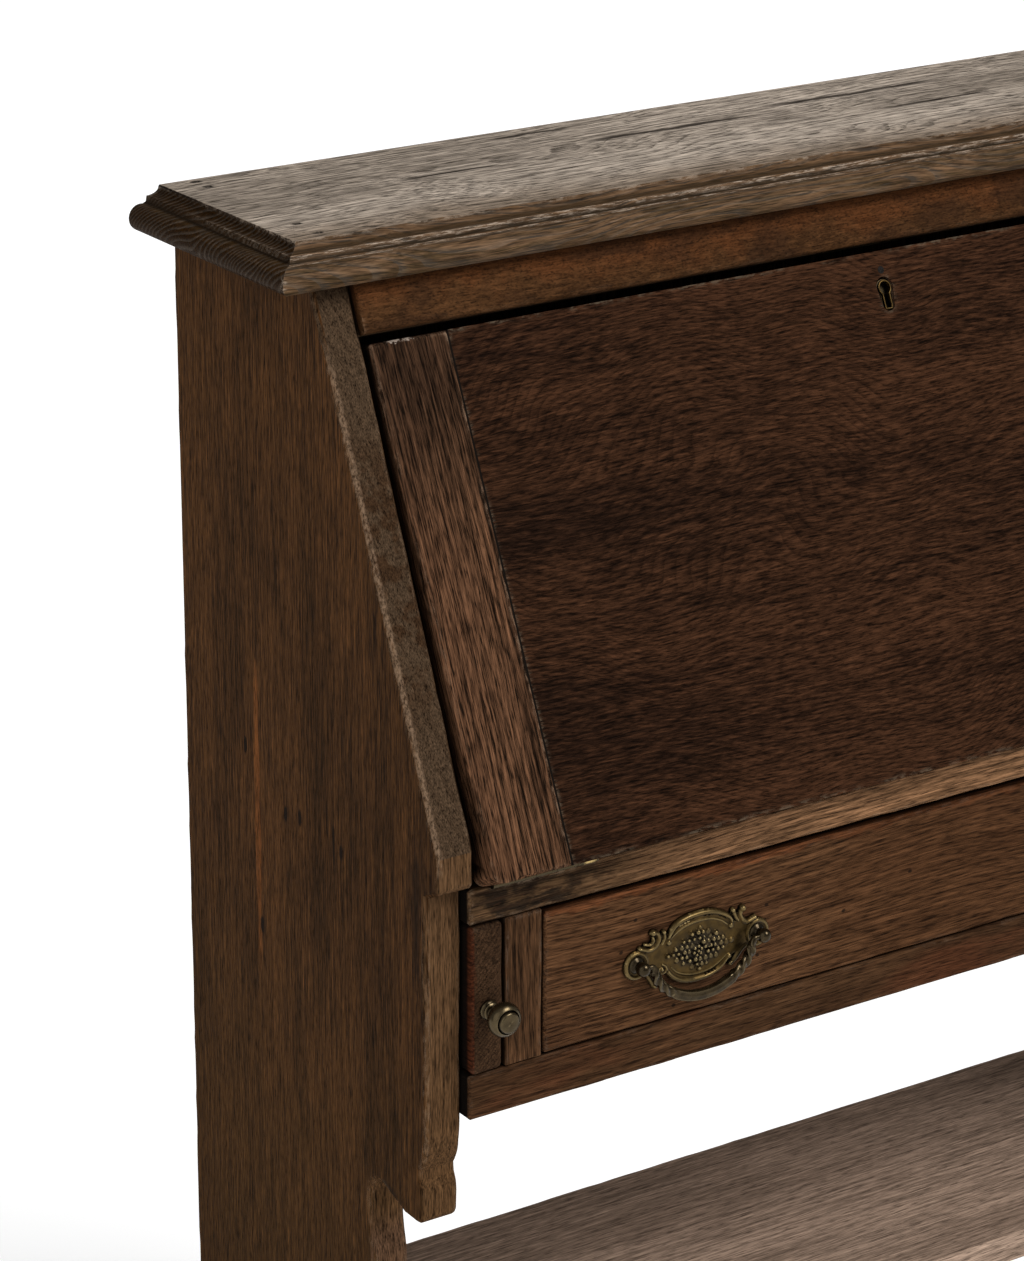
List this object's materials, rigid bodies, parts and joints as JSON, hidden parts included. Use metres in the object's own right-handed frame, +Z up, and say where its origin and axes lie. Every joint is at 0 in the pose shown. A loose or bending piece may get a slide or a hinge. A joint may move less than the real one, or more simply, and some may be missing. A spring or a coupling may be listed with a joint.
{
  "type": "secretary desk",
  "caption": "Narrow slant-front writing desk on plank sides, with a fall that folds down onto pull-out lopers, a drawer with bail pulls and an open shelf.",
  "frame": {"origin": "on the floor under the middle of the whole desk", "axes": "+X to the right seen from the front, +Y to the back, +Z up"},
  "size_m": [0.729, 0.2642, 1.024],
  "materials": {
    "oak_side": "worn satin",
    "oak_top": "faded satin",
    "oak_rail": "worn satin",
    "oak_fall": "dark satin",
    "oak_inside": "matte",
    "brass": "aged",
    "iron": "rusty"
  },
  "bodies": {
    "carcase": {"side_left": "oak_side", "side_right": "oak_side", "top_board": "oak_top", "top_rail": "oak_rail", "front_rail": "oak_rail", "bottom_rail": "oak_rail", "stile_left": "oak_side", "stile_right": "oak_side", "writing_board": "oak_inside", "back_panel": "oak_inside", "partition_left": "oak_inside", "partition_right": "oak_inside", "drawer_guide_left": "oak_inside", "drawer_guide_right": "oak_inside", "runner_left": "oak_inside", "runner_right": "oak_inside", "bottom_back_rail": "oak_inside", "fall_stop_left": "oak_inside", "fall_stop_right": "oak_inside", "under_shelf": "oak_top", "pigeonhole_top": "oak_inside", "pigeonhole_shelf": "oak_inside", "pigeonhole_dividers": "oak_inside", "rail_block_left": "oak_inside", "rail_block_right": "oak_inside", "strike_plate": "brass", "top_nails": "iron", "rail_hinge_leaf_left": "brass", "rail_hinge_leaf_right": "brass", "hinge_pin_left": "brass", "hinge_pin_right": "brass", "rail_hinge_screws": "brass"},
    "fall": {"fall_panel": "oak_fall", "fall_end_left": "oak_fall", "fall_end_right": "oak_fall", "fall_hinge_leaf_left": "brass", "fall_hinge_leaf_right": "brass", "fall_hinge_screws": "brass", "escutcheon": "brass", "lock_case": "brass", "lock_screws": "brass"},
    "bolt": {"lock_bolt": "brass"},
    "drawer": {"drawer_front": "oak_fall", "drawer_side_left": "oak_inside", "drawer_side_right": "oak_inside", "drawer_back": "oak_inside", "drawer_bottom": "oak_inside", "pull_plate_left": "brass", "pull_plate_right": "brass", "pull_posts_left": "brass", "pull_posts_right": "brass", "pull_nuts": "brass"},
    "left_bail": {"bail_left": "brass"},
    "right_bail": {"bail_right": "brass"},
    "left_loper": {"loper_left": "oak_rail", "loper_knob_left": "brass", "loper_peg_left": "oak_inside"},
    "right_loper": {"loper_right": "oak_rail", "loper_knob_right": "brass", "loper_peg_right": "oak_inside"}
  },
  "joints": [
    {"name": "fall_hinge", "type": "hinge", "parent": "carcase", "child": "fall", "pos_m": [0, -0.11045, 0.7163], "axis": [1, 0, 0], "range_deg": [0, 114.65]},
    {"name": "bolt_slide", "type": "slide", "parent": "fall", "child": "bolt", "axis": [0, 0.4171, 0.9089], "range_m": [0, 0.01]},
    {"name": "drawer_slide", "type": "slide", "parent": "carcase", "child": "drawer", "axis": [0, -1, 0], "range_m": [0, 0.15]},
    {"name": "left_loper_slide", "type": "slide", "parent": "carcase", "child": "left_loper", "axis": [0, -1, 0], "range_m": [0, 0.15]},
    {"name": "right_loper_slide", "type": "slide", "parent": "carcase", "child": "right_loper", "axis": [0, -1, 0], "range_m": [0, 0.15]},
    {"name": "left_bail_swing", "type": "hinge", "parent": "drawer", "child": "left_bail", "pos_m": [-0.1795, -0.11765, 0.651], "axis": [-1, 0, 0], "range_deg": [0, 95]},
    {"name": "right_bail_swing", "type": "hinge", "parent": "drawer", "child": "right_bail", "pos_m": [0.1795, -0.11765, 0.651], "axis": [-1, 0, 0], "range_deg": [0, 95]}
  ]
}
